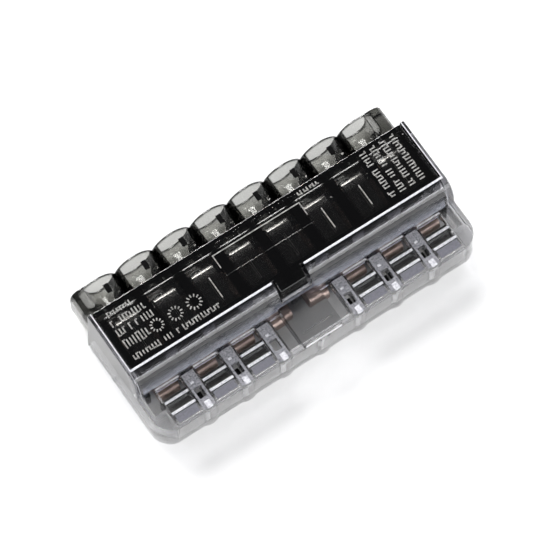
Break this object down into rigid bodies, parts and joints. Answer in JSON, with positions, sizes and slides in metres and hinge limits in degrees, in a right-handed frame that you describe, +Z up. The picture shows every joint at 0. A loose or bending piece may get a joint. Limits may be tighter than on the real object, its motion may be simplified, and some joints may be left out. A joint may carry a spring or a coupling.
{
  "type": "push-in wire connector",
  "caption": "Flat see-through splicing connector with a row of smoke-tinted round wire entries and a clear end cover with test windows; spring leaves clamp solid conductors on a copper bar",
  "frame": {"origin": "centre of the base at the bottom of the housing, on the surface that the connector rests on", "axes": "+X along the row of wire entries, the longest extent; +Y the way the barrels' mouths face, so a conductor is pushed in towards -Y and the test windows are at -Y; +Z up, the shortest extent"},
  "size_m": [0.0362, 0.0168, 0.007],
  "materials": {
    "smoked_plastic": "polished smoke-tinted transparent polycarbonate",
    "clear_plastic": "polished clear transparent polycarbonate",
    "copper": "rolled electrolytic copper, slightly dulled",
    "spring_steel": "bright rolled stainless spring steel"
  },
  "bodies": {
    "housing": {"entry_housing": "smoked_plastic", "end_cover": "clear_plastic", "contact_bar": "copper", "spring_base_1": "spring_steel", "spring_base_2": "spring_steel", "spring_base_3": "spring_steel", "spring_base_4": "spring_steel", "spring_base_5": "spring_steel", "spring_base_6": "spring_steel", "spring_base_7": "spring_steel", "spring_base_8": "spring_steel"},
    "leaf_1": {"clamp_leaf_1": "spring_steel"},
    "leaf_2": {"clamp_leaf_2": "spring_steel"},
    "leaf_3": {"clamp_leaf_3": "spring_steel"},
    "leaf_4": {"clamp_leaf_4": "spring_steel"},
    "leaf_5": {"clamp_leaf_5": "spring_steel"},
    "leaf_6": {"clamp_leaf_6": "spring_steel"},
    "leaf_7": {"clamp_leaf_7": "spring_steel"},
    "leaf_8": {"clamp_leaf_8": "spring_steel"}
  },
  "joints": [
    {"name": "leaf_flex_1", "type": "hinge", "parent": "housing", "child": "leaf_1", "pos_m": [-0.0147, 0.0026, 0.00505], "axis": [-1, 0, 0], "range_deg": [0, 25], "stiffness_Nm_per_rad": 0.05},
    {"name": "leaf_flex_2", "type": "hinge", "parent": "housing", "child": "leaf_2", "pos_m": [-0.0105, 0.0026, 0.00505], "axis": [-1, 0, 0], "range_deg": [0, 25], "stiffness_Nm_per_rad": 0.05},
    {"name": "leaf_flex_3", "type": "hinge", "parent": "housing", "child": "leaf_3", "pos_m": [-0.0063, 0.0026, 0.00505], "axis": [-1, 0, 0], "range_deg": [0, 25], "stiffness_Nm_per_rad": 0.05},
    {"name": "leaf_flex_4", "type": "hinge", "parent": "housing", "child": "leaf_4", "pos_m": [-0.0021, 0.0026, 0.00505], "axis": [-1, 0, 0], "range_deg": [0, 25], "stiffness_Nm_per_rad": 0.05},
    {"name": "leaf_flex_5", "type": "hinge", "parent": "housing", "child": "leaf_5", "pos_m": [0.0021, 0.0026, 0.00505], "axis": [-1, 0, 0], "range_deg": [0, 25], "stiffness_Nm_per_rad": 0.05},
    {"name": "leaf_flex_6", "type": "hinge", "parent": "housing", "child": "leaf_6", "pos_m": [0.0063, 0.0026, 0.00505], "axis": [-1, 0, 0], "range_deg": [0, 25], "stiffness_Nm_per_rad": 0.05},
    {"name": "leaf_flex_7", "type": "hinge", "parent": "housing", "child": "leaf_7", "pos_m": [0.0105, 0.0026, 0.00505], "axis": [-1, 0, 0], "range_deg": [0, 25], "stiffness_Nm_per_rad": 0.05},
    {"name": "leaf_flex_8", "type": "hinge", "parent": "housing", "child": "leaf_8", "pos_m": [0.0147, 0.0026, 0.00505], "axis": [-1, 0, 0], "range_deg": [0, 25], "stiffness_Nm_per_rad": 0.05}
  ]
}
